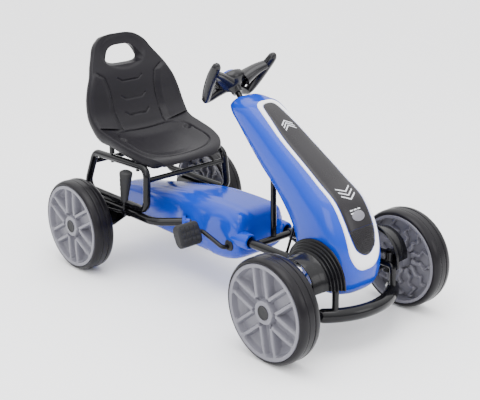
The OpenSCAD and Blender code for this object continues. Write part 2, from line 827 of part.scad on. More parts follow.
module brake_bracket() {
    rail_side = rail_rear_x + rail_d / 2 - 1;
    color(BLACK) {
        hull() {
            x_cylinder(-rail_side, -rail_side - 4, pivot_y, pivot_z, 9);
            translate([-rail_side - 4, pivot_y - 14, rail_z - 6]) cube([4, 28, 6]);
        }
        x_cylinder(-rail_side - 3, -lever_x - lever_t / 2 - 2, pivot_y, pivot_z, 4);
    }
}

// Bell crank: the handle's rod stands up and the shoe's arm runs back over the hub drum
module brake_lever() {
    color(BLACK) difference() {
        union() {
            x_cylinder(-lever_x - lever_t / 2, -lever_x + lever_t / 2, pivot_y, pivot_z, 9);
            bar(lever_point(pivot_z + 6), lever_point(lever_top_z - 16), 7);
            bar([-lever_x, pivot_y + 6, pivot_z], arm_end, 7);
        }
        x_cylinder(-lever_x - 20, -lever_x + 20, pivot_y, pivot_z, 4 + running_gap);
    }
}

module brake_grip() {
    low = lever_point(grip_low_z);
    high = lever_point(grip_high_z);
    reach = norm(high - low);
    color(CHARCOAL) along(low, high - low) difference() {
        union() {
            cylinder(r1 = 10.5, r2 = 18, h = reach - 6, $fn = 48);
            translate([0, 0, reach - 6]) cylinder(r1 = 18, r2 = 15, h = 6, $fn = 48);
        }
        translate([0, 0, -1]) cylinder(r = 3.52, h = reach - 8, $fn = 32);
    }
}

// Shoe whose flat lower face meets the hub drum when the lever is pulled all the way back
shoe_lean = 41;
shoe_gap = 0.5;
module brake_pad() {
    color(CHARCOAL) difference() {
        translate([-pad_x - 12, fwd(37), 152]) cube([24, 31, 24]);
        translate([0, pivot_y, pivot_z]) rotate([brake_swing, 0, 0]) translate([0, -pivot_y, -pivot_z])
            translate([-pad_x - 20, rear_y, axle_z]) rotate([shoe_lean, 0, 0])
                translate([0, -60, -60]) cube([40, 120, 60 + drum_r + shoe_gap]);
        bar([-lever_x, pivot_y + 6, pivot_z], arm_end, 7.04);
    }
}

// Drum behind the right rear rim that the shoe presses on
module brake_drum() {
    color(GREY) difference() {
        x_cylinder(-drum_x, -(rear_x - rim_inner_t) + 0.05, rear_y, axle_z, drum_r);
        x_cylinder(-drum_x + 5, -rear_x, rear_y, axle_z, bore_r);
    }
}

// ---- Wheels ----
// Each wheel part is drawn with its outer face at Z = 0 and its inner side at +Z.

rim_inner_t = 62;
face_t = 3;
web_t = 24;
hub_r = 24;
hub_disc_r = 42;
barrel_r = rim_r - 7;
cap_r = 17;
cap_depth = 8;
lug_r = 4.5;
lug_circle_r = 34;
rib_w = 7;
rib_offset = 9;

module wheel_place(side, outer_x, y) {
    mirror([side > 0 ? 1 : 0, 0, 0]) translate([-outer_x, y, axle_z]) rotate([0, 90, 0]) children();
}

module rim(hub_end = rim_inner_t) {
    web_end = web_t + 5;
    hub_from = rim_inner_t - 8;
    color(GREY) difference() {
        union() {
            rotate_extrude($fn = 120) polygon([
                [cap_r + 0.2, 1], [hub_r, 1], [hub_r, face_t], [hub_disc_r, face_t], [hub_disc_r, web_t],
                [barrel_r, web_t], [barrel_r, 5], [barrel_r - 6, 5], [barrel_r - 6, 0.6], [barrel_r, 0],
                [rim_r, 0], [rim_r, rim_inner_t], [barrel_r, rim_inner_t], [barrel_r, web_end],
                [hub_r, web_end], [hub_r, hub_from], [drum_r, hub_from], [drum_r, hub_end],
                [bore_r, hub_end], [bore_r, cap_depth + 0.4], [cap_r + 0.2, cap_depth + 0.4]
            ]);
            for (i = [0 : spoke_count - 1]) rotate([0, 0, 360 * (i + 0.017) / spoke_count]) {
                for (offset_y = [rib_offset, -rib_offset - rib_w])
                    translate([hub_disc_r - 6, offset_y, face_t + 0.5])
                        cube([barrel_r - hub_disc_r + 8, rib_w, web_t - face_t + 1]);
                translate([hub_disc_r - 7, -rib_offset - 1, 12])
                    cube([barrel_r - hub_disc_r + 9, 2 * rib_offset + 2, web_t - 9]);
                translate([hub_r - 2, -2.5, web_t + 3.3])
                    cube([barrel_r - hub_r + 4, 5, rim_inner_t - web_t - 11]);
            }
        }
        for (i = [0 : spoke_count - 1]) rotate([0, 0, 360 * (i + 0.5) / spoke_count])
            translate([lug_circle_r, 0, -1]) cylinder(r = lug_r, h = 14, $fn = 32);
    }
}

tyre_from = 2;
shoulder_w = 19;
shoulder_drop = 9;
groove_w = 1.6;
tread_drop = 0.5;

// A quarter ellipse from the bead out to the tread
function shoulder(steps) = [
    for (i = [0 : steps])
        let (a = 90 * i / steps)
        [wheel_r - shoulder_drop + shoulder_drop * sin(a), tyre_from + shoulder_w * (1 - cos(a))]
];

module tyre() {
    half = concat([[rim_r + 0.1, tyre_from + 1.5]], shoulder(8), [
        [wheel_r, tyre_from + shoulder_w + 1],
        [wheel_r - 2, tyre_from + shoulder_w + 1.4],
        [wheel_r - 2, tyre_from + shoulder_w + groove_w + 0.6],
        [wheel_r - tread_drop, tyre_from + shoulder_w + groove_w + 1]
    ]);
    far = 2 * tyre_from + tyre_w;
    color(BLACK) rotate_extrude($fn = 120)
        polygon(concat(half, [for (i = [len(half) - 1 : -1 : 0]) [half[i][0], far - half[i][1]]]));
}

module hub_cap() {
    color(BLACK) {
        translate([0, 0, 1.5]) cylinder(r = cap_r, h = cap_depth - 1.5, $fn = 64);
        translate([0, 0, 0.4]) cylinder(r1 = cap_r - 2, r2 = cap_r, h = 1.2, $fn = 64);
    }
}

front_x = front_width / 2;
rear_x = rear_width / 2;

module tyre_front_right() { wheel_place(RIGHT, front_x, front_y) tyre(); }
module rim_front_right() { wheel_place(RIGHT, front_x, front_y) rim(); }
module cap_front_right() { wheel_place(RIGHT, front_x, front_y) hub_cap(); }
module tyre_front_left() { wheel_place(LEFT, front_x, front_y) tyre(); }
module rim_front_left() { wheel_place(LEFT, front_x, front_y) rim(); }
module cap_front_left() { wheel_place(LEFT, front_x, front_y) hub_cap(); }
module tyre_rear_right() { wheel_place(RIGHT, rear_x, rear_y) tyre(); }
module rim_rear_right() { wheel_place(RIGHT, rear_x, rear_y) rim(); }
module cap_rear_right() { wheel_place(RIGHT, rear_x, rear_y) hub_cap(); }
module tyre_rear_left() { wheel_place(LEFT, rear_x, rear_y) tyre(); }
module rim_rear_left() { wheel_place(LEFT, rear_x, rear_y) rim(rear_x - drum_x); }
module cap_rear_left() { wheel_place(LEFT, rear_x, rear_y) hub_cap(); }

module main_rail_right() { main_rail(RIGHT); }
module main_rail_left() { main_rail(LEFT); }
module seat_loop_right() { seat_loop(RIGHT); }
module seat_loop_left() { seat_loop(LEFT); }
module rear_bracket_right() { rear_bracket(RIGHT); }
module rear_bracket_left() { rear_bracket(LEFT); }
module axle_pod_right() { axle_pod(RIGHT); }
module axle_pod_left() { axle_pod(LEFT); }
module chain_cover_right() { chain_cover(RIGHT); }
module chain_cover_left() { chain_cover(LEFT); }
module grip_right() { grip(RIGHT); }
module grip_left() { grip(LEFT); }
module knuckle_right() { knuckle(RIGHT); }
module knuckle_left() { knuckle(LEFT); }
module tie_rod_right() { tie_rod(RIGHT); }
module tie_rod_left() { tie_rod(LEFT); }
module pedal_right() { pedal(RIGHT); }
module pedal_left() { pedal(LEFT); }

main_rail_right();
main_rail_left();
seat_loop_right();
seat_loop_left();
seat_cross_bars();
rear_bracket_right();
rear_bracket_left();
axle_bearings();
crank_hangers();
crank_bushes();
cross_tubes();
steering_post();
column_bushes();
front_axle_beam();
fairing_stays();
front_bumper();
nose_fairing();
nose_trim();
nose_panel();
nose_grille();
axle_pod_right();
axle_pod_left();
bucket_seat();
seat_bolts();
chain_cover_right();
chain_cover_left();
cover_screws();
drive_chain();
brake_bracket();
steering_column();
steering_wheel();
grip_right();
grip_left();
horn_button();
knuckle_right();
knuckle_left();
tie_rod_right();
tie_rod_left();
crank();
chainring();
pedal_right();
pedal_left();
rear_axle();
rear_sprocket();
brake_lever();
brake_grip();
brake_pad();
tyre_front_right();
rim_front_right();
cap_front_right();
tyre_front_left();
rim_front_left();
cap_front_left();
tyre_rear_right();
rim_rear_right();
cap_rear_right();
brake_drum();
tyre_rear_left();
rim_rear_left();
cap_rear_left();
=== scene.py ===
# Pedal go-kart: the visible pieces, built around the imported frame.
# The kart faces -Y, +Z is up, and the driver's right hand is -X.
# Shape tables are in millimetres and count forwards from the rear axle; place() turns them into metres.
# A number called s is the side of the kart: -1 right, 1 left.
import bpy
import bmesh
import json
import math
from mathutils import Matrix, Vector
from mathutils.bvhtree import BVHTree


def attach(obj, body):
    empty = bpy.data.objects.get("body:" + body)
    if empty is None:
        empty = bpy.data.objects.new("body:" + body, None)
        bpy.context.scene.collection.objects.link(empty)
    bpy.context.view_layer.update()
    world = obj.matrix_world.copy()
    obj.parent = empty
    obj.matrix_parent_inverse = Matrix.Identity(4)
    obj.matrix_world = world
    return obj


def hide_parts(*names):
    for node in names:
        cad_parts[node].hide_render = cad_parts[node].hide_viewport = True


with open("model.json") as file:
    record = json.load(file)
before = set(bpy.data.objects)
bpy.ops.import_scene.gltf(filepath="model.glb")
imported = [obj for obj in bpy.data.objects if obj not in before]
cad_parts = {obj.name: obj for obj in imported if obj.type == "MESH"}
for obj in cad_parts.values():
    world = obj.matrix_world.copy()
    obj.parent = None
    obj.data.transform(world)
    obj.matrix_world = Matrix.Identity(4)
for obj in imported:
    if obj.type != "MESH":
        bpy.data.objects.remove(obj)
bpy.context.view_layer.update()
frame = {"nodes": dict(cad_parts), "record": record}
NODES = frame["nodes"]
SLOT = {part["node"]: part["material_slot"] for part in frame["record"]["subparts"]}
BODY = {node: body for body, nodes in frame["record"]["behaviour"]["bodies"].items() for node in nodes}

SIDES = ((-1, "right"), (1, "left"))
REAR_AXLE_Y = 381.0  # where the rear axle stands in the frame
WHEELBASE = 762
AXLE_Z = 125
RAIL_Z = 167


def place(x, ahead, z):
    """Millimetres, with the place counted forwards from the rear axle, to scene metres."""
    return Vector((x, REAR_AXLE_Y - ahead, z)) / 1000


# ---- Materials ----
def add_noise(tree, coordinates, scale, detail):
    """A noise texture on the object's own coordinates."""
    noise = tree.nodes.new("ShaderNodeTexNoise")
    noise.inputs["Scale"].default_value = scale
    noise.inputs["Detail"].default_value = detail
    tree.links.new(coordinates.outputs["Object"], noise.inputs["Vector"])
    return noise


def material(name, colour, rough, coat=0.0, grain=0.0, grain_size=300.0, metal=0.0, spread=0.06,
             vary=0.12, spec=0.5):
    """A finish whose roughness (by spread) and colour (by vary) wander a little; grain is a fine bump."""
    made = bpy.data.materials.new(name)
    made.use_nodes = True
    tree = made.node_tree
    shader = tree.nodes["Principled BSDF"]
    shader.inputs["Metallic"].default_value = metal
    shader.inputs["Coat Weight"].default_value = coat
    shader.inputs["Coat Roughness"].default_value = 0.06
    shader.inputs["Specular IOR Level"].default_value = spec
    coordinates = tree.nodes.new("ShaderNodeTexCoord")
    noise = add_noise(tree, coordinates, 14, 5)
    wander = tree.nodes.new("ShaderNodeMapRange")
    wander.inputs["To Min"].default_value = max(0.02, rough - spread)
    wander.inputs["To Max"].default_value = rough + spread
    tree.links.new(noise.outputs["Fac"], wander.inputs["Value"])
    tree.links.new(wander.outputs["Result"], shader.inputs["Roughness"])
    mix = tree.nodes.new("ShaderNodeMix")
    mix.data_type = "RGBA"
    mix.inputs["A"].default_value = (*[c * (1 - vary) for c in colour], 1)
    mix.inputs["B"].default_value = (*[min(1, c * (1 + vary)) for c in colour], 1)
    tree.links.new(noise.outputs["Fac"], mix.inputs["Factor"])
    tree.links.new(mix.outputs["Result"], shader.inputs["Base Color"])
    if grain:
        fine = add_noise(tree, coordinates, grain_size, 3)
        bump = tree.nodes.new("ShaderNodeBump")
        bump.inputs["Strength"].default_value = grain
        bump.inputs["Distance"].default_value = 0.0006
        tree.links.new(fine.outputs["Fac"], bump.inputs["Height"])
        tree.links.new(bump.outputs["Normal"], shader.inputs["Normal"])
    return made


BLUE = material("blue_plastic", (0.003, 0.036, 0.38), 0.16, 0.0, spread=0.02, vary=0.02, spec=0.3)
WHITE = material("white_trim", (0.84, 0.84, 0.87), 0.3, 0.3, vary=0.02)
PANEL = material("black_panel", (0.007, 0.006, 0.008), 0.28, 0.0, 0.05, 200, spec=0.26)
PLASTIC = material("black_plastic", (0.004, 0.004, 0.005), 0.18, 0.0, 0.05, 90, spec=0.22)
SEAT = material("seat_plastic", (0.008, 0.0072, 0.0095), 0.36, 0.0, 0.35, 900, vary=0.08, spec=0.15)
WHEEL = material("wheel_black", (0.005, 0.005, 0.0065), 0.2, 0.0, 0.05, 120, spec=0.34)
SOFT = material("soft_black", (0.012, 0.012, 0.013), 0.6, 0.0, 0.4, 700, spec=0.3)
STEEL = material("bright_steel", (0.55, 0.55, 0.57), 0.32, 0.0, 0.1, 300, metal=1.0)
PAINT = material("black_paint", (0.003, 0.003, 0.004), 0.14, 0.0, 0.03, 150, spec=0.24)
TYRE = material("tyre_rubber", (0.005, 0.0044, 0.006), 0.3, 0.0, 0.12, 500, vary=0.1, spec=0.17)
RIM = material("rim_grey", (0.14, 0.138, 0.163), 0.36, 0.0, 0.1, 400, vary=0.04, spec=0.45)
SILVER = material("chevron_silver", (0.55, 0.56, 0.6), 0.3, 0.2)
MATERIALS = {"blue_plastic": BLUE, "white_trim": WHITE, "black_panel": PANEL, "black_plastic": PLASTIC,
             "seat_plastic": SEAT, "wheel_black": WHEEL, "soft_black": SOFT, "bright_steel": STEEL,
             "black_paint": PAINT, "tyre_rubber": TYRE, "rim_grey": RIM}


# ---- Mesh helpers ----
def finish_piece(name, verts, faces, mat, node=None, extra=(), slot=None, smooth=40, body=None):
    """A mesh in the scene that stands for a CAD node or, with body given, is added beside one. The slot
    argument is not used.

    An edge that turns by more than smooth degrees stays sharp.
    """
    mesh = bpy.data.meshes.new(name)
    mesh.from_pydata([tuple(v) for v in verts], [], [tuple(f) for f in faces])
    cleaner = bmesh.new()
    cleaner.from_mesh(mesh)
    bmesh.ops.remove_doubles(cleaner, verts=cleaner.verts, dist=0.00001)
    bmesh.ops.recalc_face_normals(cleaner, faces=cleaner.faces)
    cleaner.to_mesh(mesh)
    cleaner.free()
    o = bpy.data.objects.new(name, mesh)
    bpy.context.scene.collection.objects.link(o)
    mesh.materials.append(mat)
    mesh.polygons.foreach_set("use_smooth", [True] * len(mesh.polygons))
    mesh.set_sharp_from_angle(angle=math.radians(smooth))
    if node:
        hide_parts(node, *extra)
        body = body or BODY[node]
        slot = slot or SLOT[node]
    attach(o, body)
    return o


def span_points(points):
    """Each span of a list with the points before and after it, the ends repeated."""
    last = len(points) - 1
    for i in range(last):
        yield points[max(i - 1, 0)], points[i], points[i + 1], points[min(i + 2, last)]


def spline(points, n):
    """Catmull-Rom through a list of vectors, n steps a span."""
    out = []
    for a, b, c, d in span_points(points):
        for k in range(n):
            t = k / n
            out.append(0.5 * ((2 * b) + (c - a) * t + (2 * a - 5 * b + 4 * c - d) * t * t
                              + (3 * b - a - 3 * c + d) * t ** 3))
    out.append(Vector(points[-1]))
    return out


def spline_rows(rows, n):
    """Catmull-Rom through tuples of numbers of any length, n steps a span."""
    out = []
    for span in span_points(rows):
        for k in range(n):
            t = k / n
            out.append([0.5 * (2 * b + (c - a) * t + (2 * a - 5 * b + 4 * c - d) * t * t
                               + (3 * b - a - 3 * c + d) * t ** 3) for a, b, c, d in zip(*span)])
    out.append(list(rows[-1]))
    return out


def rounded(points, radius, n=10, closed=False):
    """Corners of a polyline turned into bends of a radius (metres), n steps a bend."""
    out = []
    count = len(points)
    for i in range(count):
        if not closed and i in (0, count - 1):
            out.append(points[i])
            continue
        before, corner, after = points[i - 1], points[i], points[(i + 1) % count]
        u, v = (corner - before).normalized(), (after - corner).normalized()
        turn = u.angle(v)
        if turn < 0.02:
            out.append(corner)
            continue
        room = min((corner - before).length, (after - corner).length)
        cut = min(radius * math.tan(turn / 2), 0.48 * room)
        bend = cut / math.tan(turn / 2)
        inward = (v - v.dot(u) * u).normalized()
        start = corner - u * cut
        for k in range(n + 1):
            a = turn * k / n
            out.append(start + u * bend * math.sin(a) + inward * bend * (1 - math.cos(a)))
    return out


def sweep(path, radii, n=24, closed=False, flat=1.0):
    """Verts and faces of a bar along a path; radii is a number or one a point, flat squeezes its height."""
    m = len(path)
    radius = radii if isinstance(radii, list) else [radii] * m
    verts, faces = [], []
    up = Vector((0.0, 0.02, 1.0))
    side = None
    for i, p in enumerate(path):
        if closed:
            along = path[(i + 1) % m] - path[i - 1]
        else:
            along = path[min(i + 1, m - 1)] - path[max(i - 1, 0)]
        along.normalize()
        side = (along.cross(up) if side is None else side - side.dot(along) * along).normalized()
        normal = side.cross(along)
        for k in range(n):
            a = 2 * math.pi * k / n
            verts.append(p + side * radius[i] * math.cos(a) + normal * radius[i] * flat * math.sin(a))
    for i in range(m if closed else m - 1):
        j = (i + 1) % m
        for k in range(n):
            after = (k + 1) % n
            faces.append((i * n + k, i * n + after, j * n + after, j * n + k))
    if not closed:
        faces += [tuple(range(n)), tuple(range((m - 1) * n, m * n))]
    return verts, faces


def ball_end(path, r, steps=5):
    """Path and radii with both ends rounded off."""
    def tip(p, q):
        u = (p - q).normalized()
        angles = [math.pi / 2 * k / steps for k in range(1, steps + 1)]
        return [(p + u * r * math.sin(a), max(r * math.cos(a), r * 0.05)) for a in angles]
    head = tip(path[0], path[1])[::-1]
    tail = tip(path[-1], path[-2])
    points = [a for a, _ in head] + path + [a for a, _ in tail]
    return points, [b for _, b in head] + [r] * len(path) + [b for _, b in tail]


def join(*parts):
    """Several meshes as one."""
    verts, faces = [], []
    for v, f in parts:
        n = len(verts)
        verts += list(v)
        faces += [tuple(i + n for i in q) for q in f]
    return verts, faces


def lathe(profile, centre, n=96, start=0.0, end=360.0, sign=1):
    """Turns (x, radius) in mm about the X direction through centre (metres)."""
    steps = n if end - start >= 360 else n + 1
    verts, faces = [], []
    for k in range(steps):
        a = math.radians(start + (end - start) * k / n)
        for x, r in profile:
            verts.append(centre + Vector((sign * x, -r * math.cos(a), r * math.sin(a))) / 1000)
    m = len(profile)
    for k in range(n):
        after = (k + 1) % steps
        for i in range(m - 1):
            faces.append((k * m + i, k * m + i + 1, after * m + i + 1, after * m + i))
    return verts, faces


def skin(rings, closed=True, caps=True):
    """Faces between rings of the same number of points."""
    n = len(rings[0])
    verts = [v for ring in rings for v in ring]
    faces = []
    for i in range(len(rings) - 1):
        for k in range(n if closed else n - 1):
            after = (k + 1) % n
            faces.append((i * n + k, i * n + after, (i + 1) * n + after, (i + 1) * n + k))
    if caps:
        faces += [tuple(range(n)), tuple(range((len(rings) - 1) * n, len(rings) * n))]
    return verts, faces


def turns(n):
    """n angles, evenly round a circle."""
    return [2 * math.pi * k / n for k in range(n)]


def signed_power(value, power):
    """A power of the size that keeps the sign; under 1 it squares off a circle."""
    return math.copysign(abs(value) ** power, value)


def smooth_step(a, b, x):
    """0 at a, 1 at b, with a soft start and end."""
    t = min(1.0, max(0.0, (x - a) / (b - a)))
    return t * t * (3 - 2 * t)


# ---- Frame tubes, crank and bumper ----
CRANK_AHEAD, CRANK_Z, CRANK_THROW = 450, 147, 72
CRANK_TILT = math.radians(28)
BUMPER_BEND, BUMPER_CENTRE, BUMPER_Z = 174, 689, 93


def build_frame_tubes():
    for s, side in SIDES:
        rail = rounded([place(s * 144, -14, RAIL_Z), place(s * 144, 222, RAIL_Z),
                        place(s * 62, 298, RAIL_Z), place(s * 62, 778, RAIL_Z)], 0.06)
        finish_piece("rail_" + side, *sweep(rail, 0.011, 32), PAINT, "main_rail_" + side)
        loop = rounded([place(s * 141, 190, 187.7), place(s * 132, 186, 303),
                        place(s * 132, -52, 298), place(s * 141, -92, 189.7)], 0.026, closed=True)
        finish_piece("loop_" + side, *sweep(loop, 0.01, 28, closed=True), PAINT, "seat_loop_" + side)


def pedal_axis(s):
    """Place ahead and height of one side's pedal axis: the right pedal is behind and up."""
    return (CRANK_AHEAD + s * CRANK_THROW * math.cos(CRANK_TILT),
            CRANK_Z - s * CRANK_THROW * math.sin(CRANK_TILT))


def build_crank():
    right, left = pedal_axis(-1), pedal_axis(1)
    rod = rounded([place(-190, *right), place(-116, *right), place(-100, CRANK_AHEAD, CRANK_Z),
                   place(100, CRANK_AHEAD, CRANK_Z), place(116, *left), place(190, *left)], 0.013)
    finish_piece("crank_rod", *sweep(rod, 0.006, 24), PAINT, "crank")


def build_bumper():
    arc = []
    for degrees in range(-43, 44, 2):
        t = math.radians(degrees)
        arc.append(place(BUMPER_BEND * math.sin(t), BUMPER_CENTRE + BUMPER_BEND * math.cos(t), BUMPER_Z))
    points, radii = ball_end(arc, 0.017, 8)
    legs = []
    for s, _ in SIDES:
        leg = rounded([place(s * 98, 832.8, BUMPER_Z), place(s * 98, 832.8, 158),
                       place(s * 98, 771, 158), place(s * 98, 762, 137)], 0.01)
        legs.append(sweep(leg, 0.008, 20))
    finish_piece("bumper_bar", *join(sweep(points, radii, 32), *legs), PAINT, "front_bumper")


# ---- Wheels ----
WHEELS = {"front_right": (-1, 256, WHEELBASE), "front_left": (1, 256, WHEELBASE),
          "rear_right": (-1, 262, 0), "rear_left": (1, 262, 0)}  # side, outer plane, place ahead
TYRE_WIDTH = 63
RIM_SEAT = 112.62
RIM_FACE_POINTS = 360
RIM_RADII = ([17.2, 17.6, 19, 22, 25] + [26 + 1.0 * k for k in range(18)] + [44 + 2.6 * k for k in range(20)]
             + [96, 98, 99.5, 101, 102.5, 104, 106, 110, 112])
CAP_PROFILE = [(-8, 0.2), (-8, 17), (-1.6, 17), (-0.6, 16.3), (-0.3, 15), (-1.0, 13.4), (-1.4, 12),
               (-1.1, 5), (-1.0, 0.1)]


def tyre_profile():
    """(depth from the outer plane, radius) across the tyre, with a groove near each shoulder."""
    half = [(4.0, RIM_SEAT), (2.6, 113.4)]
    for k in range(13):
        a = math.pi / 2 * k / 12
        half.append((2 + 19 * (1 - math.cos(a)), 116 + 9 * math.sin(a)))
    half += [(21.4, 124.9), (21.8, 124.2), (22.1, 123.3), (22.7, 123.3), (23.0, 124.1), (23.5, 124.45),
             (26, 124.5), (30, 124.5)]
    return half + [(TYRE_WIDTH - x, r) for x, r in half[::-1]]


def face_depth(radius, angle):
    """Depth of a rim's moulded face below its outer plane, at a radius (mm) and an angle."""
    turned = (math.degrees(angle) + 30) % 60 - 30
    across = abs(radius * math.sin(math.radians(turned)))
    pocket = 25 - 9 * smooth_step(82, 104, radius) - 7 * smooth_step(44, 28, radius)
    rib = smooth_step(9.5, 13.5, across) * (1 - smooth_step(20.0, 25.5, across))
    valley = 1 - smooth_step(9.5, 13.5, across)
    rib_top = 2.6 + 0.004 * (radius - 60) ** 2 / 4
    depth = pocket + (rib_top - pocket) * rib + (17 - pocket) * valley * (1 - rib)
    depth += (2.2 - depth) * smooth_step(31, 27, radius)
    depth += (1.0 - depth) * smooth_step(100, 104.5, radius)
    if radius < 42:
        # One of six bolt hollows, between the ribs
        turned = math.radians(math.degrees(angle) % 60 - 30)
        out, aside = radius * math.cos(turned) - 33.5, radius * math.sin(turned)
        depth += (13 - depth) * (1 - smooth_step(0.75, 1.1, math.hypot(out / 4.6, aside / 5.2)))
    return depth


def rim_mesh(s, outer, ahead, long_hub, spin):
    """A rim's moulded face, its barrel and its hub; spin turns the face about the axle."""
    centre = place(s * outer, ahead, AXLE_Z)
    rings = []
    for r in RIM_RADII:
        ring = []
        for a in turns(RIM_FACE_POINTS):
            inward = -s * face_depth(r, a + spin)
            ring.append(centre + Vector((inward, -r * math.sin(a), r * math.cos(a))) / 1000)
        rings.append(ring)
    front = skin(rings, caps=False)
    bore = [(-1.2, 17.2), (-8.4, 17.2), (-8.4, 7.06)]
    if long_hub:
        hub = [(-97, 7.06), (-97, 27), (-54, 27), (-54, 24)]
    else:
        hub = [(-62, 7.06), (-62, 24)]
    barrel = [(-29, 24), (-29, 105.5), (-61.4, 105.5), (-62, 106.2), (-62, 111.9), (-61.4, 112.5),
              (-0.8, 112.5), (-0.2, 112.2), (-1.0, 112)]
    return join(front, lathe(bore + hub + barrel, centre, 180, sign=s))


def build_wheels():
    for name, (s, outer, ahead) in WHEELS.items():
        centre = place(s * outer, ahead, AXLE_Z)
        tread = lathe([(-x, r) for x, r in tyre_profile()], centre, 160, sign=s)
        inside = lathe([(-4.0, RIM_SEAT), (-59.0, RIM_SEAT)], centre, 160, sign=s)
        finish_piece("tyre_" + name, *join(tread, inside), TYRE, "tyre_" + name, smooth=50)
        spin = math.radians(9.5 if name == "front_right" else 0)
        rim = rim_mesh(s, outer, ahead, name == "rear_left", spin)
        finish_piece("rim_face_" + name, *rim, RIM, "rim_" + name, smooth=45)
        finish_piece("cap_" + name, *lathe(CAP_PROFILE, centre, 64, sign=s), SOFT, "cap_" + name)


WEB_RIB = ((-1, 31.0), (-0.8, 37.5), (-0.3, 39.5), (0.3, 39.5), (0.8, 37.5), (1, 31.0), (1, 28.0), (-1, 28.0))


def web_ribs(outer, ahead, s):
    """Wavy raised ribs on the inboard face of a wheel's web, twelve to a turn."""
    made = []
    for i in range(12):
        start = 2 * math.pi * (i + 0.25) / 12
        rings = []
        for k in range(25):
            r = 30 + 72 * k / 24
            a = start + 0.09 * math.sin(k * 0.62 + (i % 2) * math.pi) * (0.4 + k / 24)
            half = (7.5 - 3.5 * math.sin(math.pi * k / 24)) / r
            rings.append([place(s * (outer - depth), ahead - r * math.cos(a + half * part),
                                AXLE_Z + r * math.sin(a + half * part)) for part, depth in WEB_RIB])
        made.append(skin(rings))
    return join(*made)


def build_web_ribs():
    for name, (s, outer, ahead) in WHEELS.items():
        ribs = web_ribs(outer, ahead, s)
        finish_piece("web_ribs_" + name, *ribs, RIM, slot="rim_grey", body=BODY["rim_" + name], smooth=50)


# ---- Nose ----
# Each station: front edge (ahead, height), back edge (ahead, height), half width
NOSE = [(424, 512, 402, 498, 22), (432, 518, 403, 493, 31), (446, 521, 410, 487, 43),
        (476, 517, 426, 473, 54), (509, 510, 446, 456, 60), (569, 474, 489, 407, 63),
        (619, 441, 531, 364, 66), (681, 402, 582, 319, 70), (733, 368, 623, 275, 75),
        (779, 338, 647, 240, 80), (807, 301, 658, 215, 84), (826, 261, 664, 194, 86),
        (837, 215, 668, 172, 86), (840, 180, 672, 156, 84), (836, 150, 676, 138, 80),
        (829, 132, 679, 126, 75), (820, 122, 684, 121, 68)]
NOSE_POINTS = 64
NOSE_WALL = 3
# (way down the face, half width) of the white trim's outer edge and of the black panel's edge
TRIM = [(-14, 10), (-11, 22), (-3, 31), (12, 36), (60, 41), (110, 44.5), (215, 47), (270, 49), (340, 51.5),
        (415, 51), (440, 46), (457, 35), (465, 21), (467, 9)]
FACE = [(-1, 5), (0, 12), (4, 18), (14, 23), (50, 29), (107, 36), (206, 39.5), (302, 42.5), (347, 43),
        (391, 41), (420, 33), (433, 21), (438, 11), (440, 4)]
PANEL_END, GRILLE_START, GRILLE_END = 383.7, 384.2, 440
RIBBON_PROUD, RIBBON_THICK = 2.2, 0.6
DOWN_FACE = Vector((0, -1, -1)).normalized()
OFF_FACE = Vector((0, -1, 1)).normalized()
FACE_ORIGIN = Vector((0, REAR_AXLE_Y / 1000, 0))


def nose_rings(inset):
    """Rings round the nose, inset mm inside its surface."""
    rings = []
    for front_ahead, front_z, back_ahead, back_z, width in spline_rows(NOSE, 6):
        middle = Vector((0, (front_ahead + back_ahead) / 2, (front_z + back_z) / 2))
        half = Vector((0, (front_ahead - back_ahead) / 2, (front_z - back_z) / 2))
        span = half.length
        u = half.normalized()
        ring = []
        for t in turns(NOSE_POINTS):
            sideways = Vector(((width - inset) * signed_power(math.sin(t), 0.72), 0, 0))
            q = middle + u * (span - inset) * signed_power(math.cos(t), 0.72) + sideways
            ring.append(place(q.x, q.y, q.z))
        rings.append(ring)
    return rings


def nose_tree():
    """The nose's surface, for laying things on it."""
    verts, faces = skin(nose_rings(0))
    probe = bpy.data.meshes.new("probe")
    probe.from_pydata([tuple(v) for v in verts], [], faces)
    surface = bmesh.new()
    surface.from_mesh(probe)
    tree = BVHTree.FromBMesh(surface)
    surface.free()
    bpy.data.meshes.remove(probe)
    return tree


NOSE_TREE = nose_tree()


def drape(x, down, proud):
    """A place on the nose's face: sideways and down it in mm, standing proud mm off it."""
    start = FACE_ORIGIN + Vector((x / 1000, 0, 0)) + DOWN_FACE * (down / 1000) + OFF_FACE * 1.2
    hit, normal, _, _ = NOSE_TREE.ray_cast(start, -OFF_FACE)
    if hit is None:
        hit, normal = start - OFF_FACE * 0.6, OFF_FACE
    return hit + (normal if normal.dot(OFF_FACE) > 0 else -normal) * (proud / 1000)


def build_nose_shell():
    """Closed at the top; open below, where a second skin inside gives it a wall."""
    verts, faces = skin(nose_rings(0), caps=False)
    faces.append(tuple(range(NOSE_POINTS)))
    count = len(verts)
    inner_verts, inner_faces = skin(nose_rings(NOSE_WALL)[10:], caps=False)
    verts += inner_verts
    faces += [tuple(i + count for i in face[::-1]) for face in inner_faces]
    outer, inner = count - NOSE_POINTS, len(verts) - NOSE_POINTS
    for k in range(NOSE_POINTS):
        after = (k + 1) % NOSE_POINTS
        faces.append((outer + k, outer + after, inner + after, inner + k))
    finish_piece("nose_shell", verts, faces, BLUE, "nose_fairing", smooth=60)


def outline(stations):
    """(x, way down) all round a shape given by its half widths."""
    rows = spline_rows(stations, 14)
    points = [(w, q) for q, w in rows]
    return points + [(-w, q) for q, w in rows[::-1]]


def build_nose_trim():
    rows = []
    for v in range(9):
        t = v / 8
        proud = 0.2 + 3.6 * math.sin(math.pi * t) ** 0.5 if 0 < t < 1 else -0.6
        rows.append([drape(a[0] * (1 - t) + b[0] * t, a[1] * (1 - t) + b[1] * t, proud)
                     for a, b in zip(outline(TRIM), outline(FACE))])
    finish_piece("nose_trim_ring", *skin(rows, caps=False), WHITE, "nose_trim", smooth=60)


